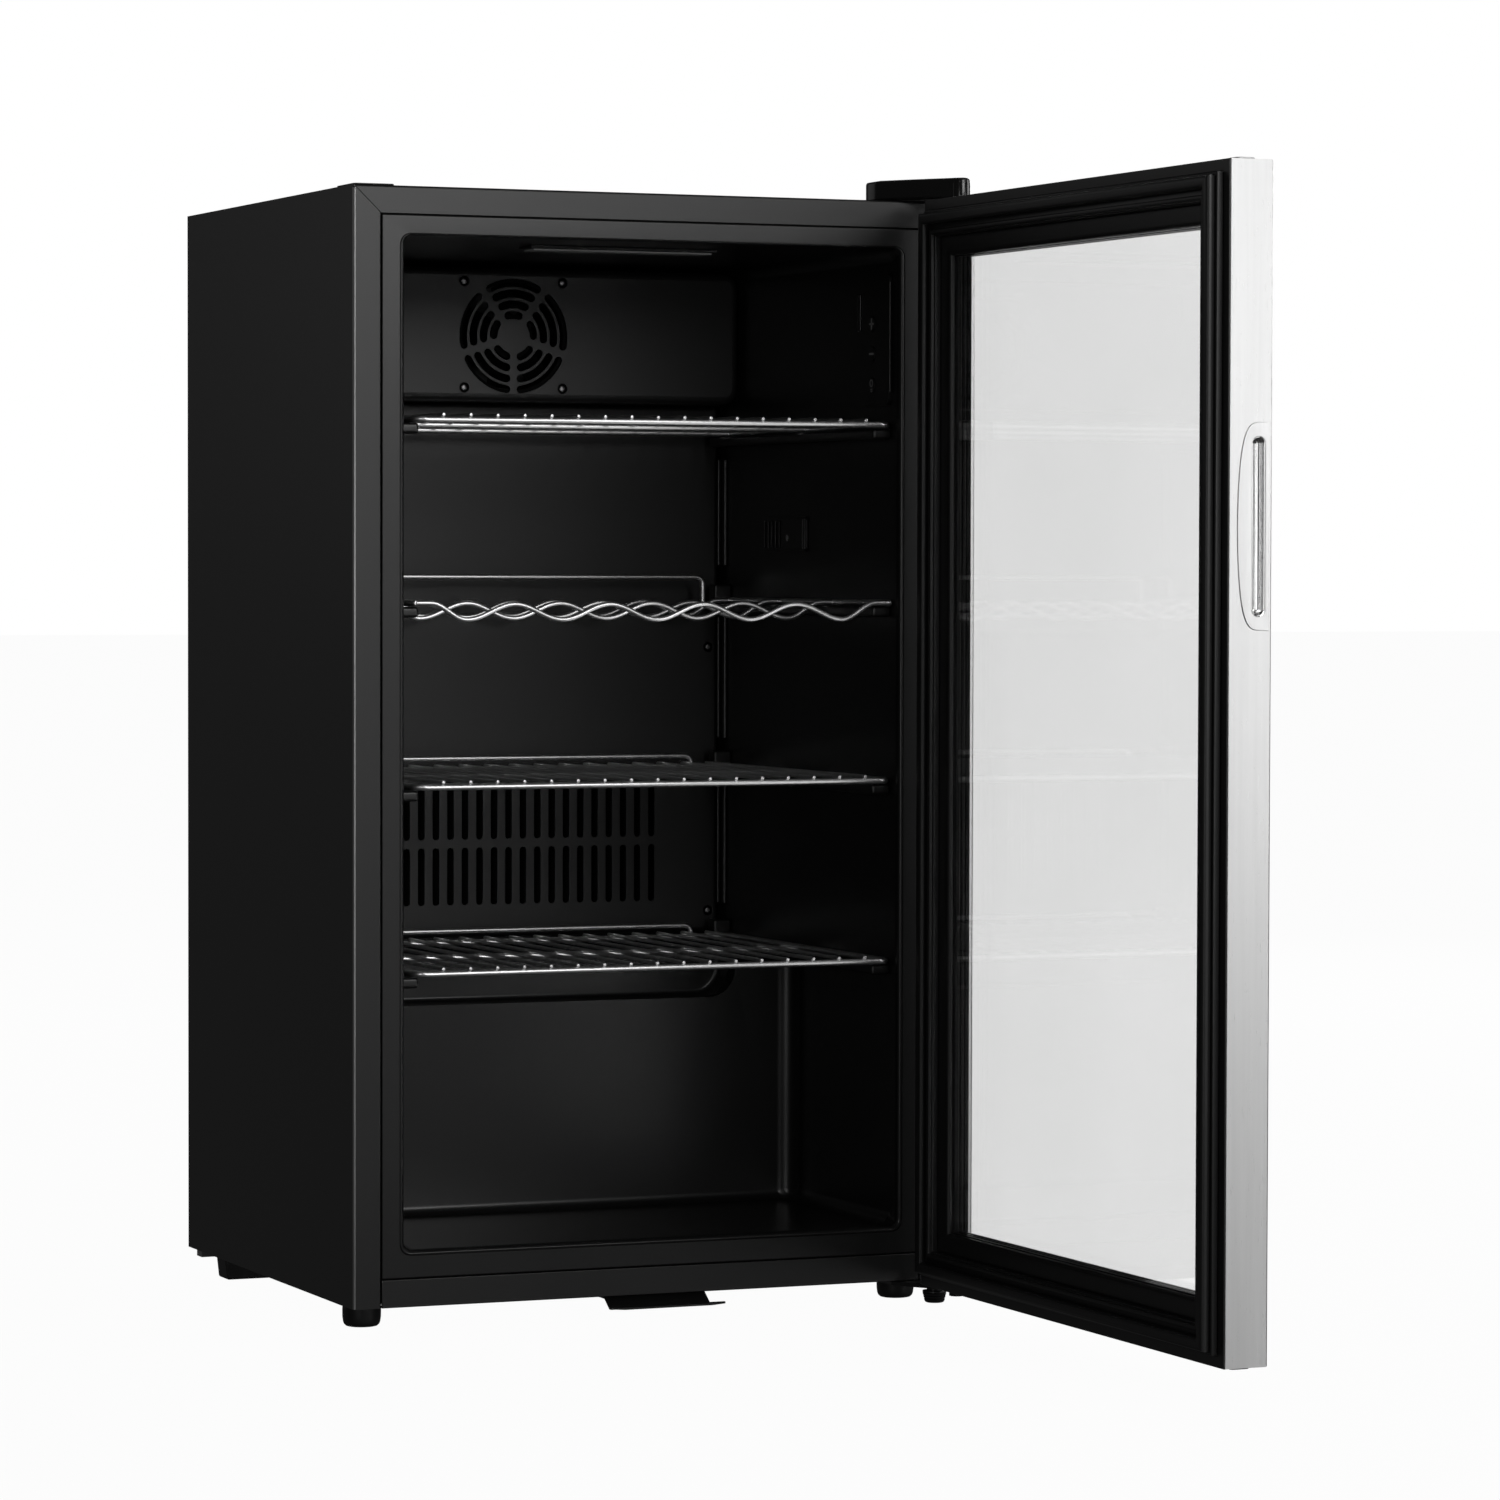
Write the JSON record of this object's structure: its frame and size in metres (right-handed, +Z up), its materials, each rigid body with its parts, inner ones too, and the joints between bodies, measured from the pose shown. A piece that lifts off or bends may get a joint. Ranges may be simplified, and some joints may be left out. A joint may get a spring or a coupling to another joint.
{
  "type": "mini fridge",
  "caption": "Under-counter mini fridge with a hinged glass door, wire shelves, a waved bottle shelf, a fan panel and a rear compressor compartment.",
  "frame": {"origin": "centre of the cabinet's underside, on the pad pressed into its base pan (the feet reach 18 mm lower)", "axes": "+Z up, +X towards the hinge side, +Y towards the back; the open front faces -Y"},
  "size_m": [0.4852, 0.9292, 0.861],
  "materials": {
    "black_paint": "satin",
    "black_plastic": "satin",
    "dark_plastic": "matte",
    "galvanised_steel": "satin",
    "stainless_steel": "polished",
    "chrome_wire": "polished",
    "copper_tube": "satin",
    "aluminium": "satin",
    "black_rubber": "matte",
    "clear_glass": "gloss",
    "foam": "matte",
    "lamp_diffuser": "satin"
  },
  "bodies": {
    "cabinet": {"cabinet_shell": "black_paint", "front_rail": "black_paint", "rear_panel": "black_paint", "compressor": "black_paint", "compartment_cover": "black_paint", "bottom_hinge_bracket": "black_paint", "catch_plate": "black_paint", "hinge_hole_cap": "black_plastic", "inner_liner": "black_plastic", "evaporator_cover": "black_plastic", "fan_housing": "black_plastic", "control_panel": "black_plastic", "sensor_cover": "black_plastic", "relay_box": "black_plastic", "drip_tray": "black_plastic", "top_hinge_cover": "black_plastic", "hinge_support_foot": "black_plastic", "rear_left_foot": "black_plastic", "rear_right_foot": "black_plastic", "fan_frame": "dark_plastic", "lamp_housing": "dark_plastic", "base_pan": "galvanised_steel", "compartment_panel": "galvanised_steel", "compressor_plate": "galvanised_steel", "top_hinge_bracket": "galvanised_steel", "discharge_pipe": "copper_tube", "suction_pipe": "copper_tube", "filter_drier": "copper_tube", "condenser_coil": "copper_tube", "evaporator": "aluminium", "drain_hose": "black_rubber", "cord_gland": "black_rubber", "grommet_1": "black_rubber", "grommet_2": "black_rubber", "grommet_3": "black_rubber", "grommet_4": "black_rubber", "insulation_foam": "foam", "lamp_lens": "lamp_diffuser"},
    "fan_rotor": {"fan_rotor": "dark_plastic"},
    "plus_button": {"plus_button": "dark_plastic"},
    "minus_button": {"minus_button": "dark_plastic"},
    "lamp_button": {"lamp_button": "dark_plastic"},
    "top_shelf": {"top_shelf": "chrome_wire"},
    "wine_shelf": {"wine_shelf": "chrome_wire"},
    "middle_shelf": {"middle_shelf": "chrome_wire"},
    "bottom_shelf": {"bottom_shelf": "chrome_wire"},
    "front_left_foot": {"front_left_foot": "black_plastic"},
    "front_right_foot": {"front_right_foot": "black_plastic"},
    "door": {"door_outer_frame": "stainless_steel", "door_inner_frame": "black_plastic", "door_gasket": "black_rubber", "outer_glass": "clear_glass", "inner_glass": "clear_glass", "glass_spacer": "aluminium", "handle_cup": "stainless_steel", "door_top_plug": "stainless_steel", "door_bottom_plug": "black_plastic", "top_hinge_bush": "black_plastic", "bottom_hinge_bush": "black_plastic"}
  },
  "joints": [
    {"name": "door_swing", "type": "hinge", "parent": "cabinet", "child": "door", "pos_m": [0.2324, -0.2433, 0.4], "axis": [0, 0, 1], "range_deg": [-90.6, 29.4]},
    {"name": "fan_spin", "type": "hinge", "parent": "cabinet", "child": "fan_rotor", "pos_m": [0.0015, 0.1203, 0.732], "axis": [0, 1, 0], "continuous": true},
    {"name": "plus_press", "type": "slide", "parent": "cabinet", "child": "plus_button", "axis": [1, 0, 0], "range_m": [0, 0.001], "stiffness_N_per_m": 300},
    {"name": "minus_press", "type": "slide", "parent": "cabinet", "child": "minus_button", "axis": [1, 0, 0], "range_m": [0, 0.001], "stiffness_N_per_m": 300},
    {"name": "lamp_press", "type": "slide", "parent": "cabinet", "child": "lamp_button", "axis": [1, 0, 0], "range_m": [0, 0.001], "stiffness_N_per_m": 300},
    {"name": "top_shelf_slide", "type": "slide", "parent": "cabinet", "child": "top_shelf", "axis": [0, -1, 0], "range_m": [0, 0.045]},
    {"name": "wine_shelf_slide", "type": "slide", "parent": "cabinet", "child": "wine_shelf", "axis": [0, -1, 0], "range_m": [0, 0.045]},
    {"name": "middle_shelf_slide", "type": "slide", "parent": "cabinet", "child": "middle_shelf", "axis": [0, -1, 0], "range_m": [0, 0.045]},
    {"name": "bottom_shelf_slide", "type": "slide", "parent": "cabinet", "child": "bottom_shelf", "axis": [0, -1, 0], "range_m": [0, 0.045]},
    {"name": "front_left_foot_screw", "type": "slide", "parent": "cabinet", "child": "front_left_foot", "axis": [0, 0, -1], "range_m": [0, 0.01]},
    {"name": "front_right_foot_screw", "type": "slide", "parent": "cabinet", "child": "front_right_foot", "axis": [0, 0, -1], "range_m": [0, 0.01]}
  ]
}
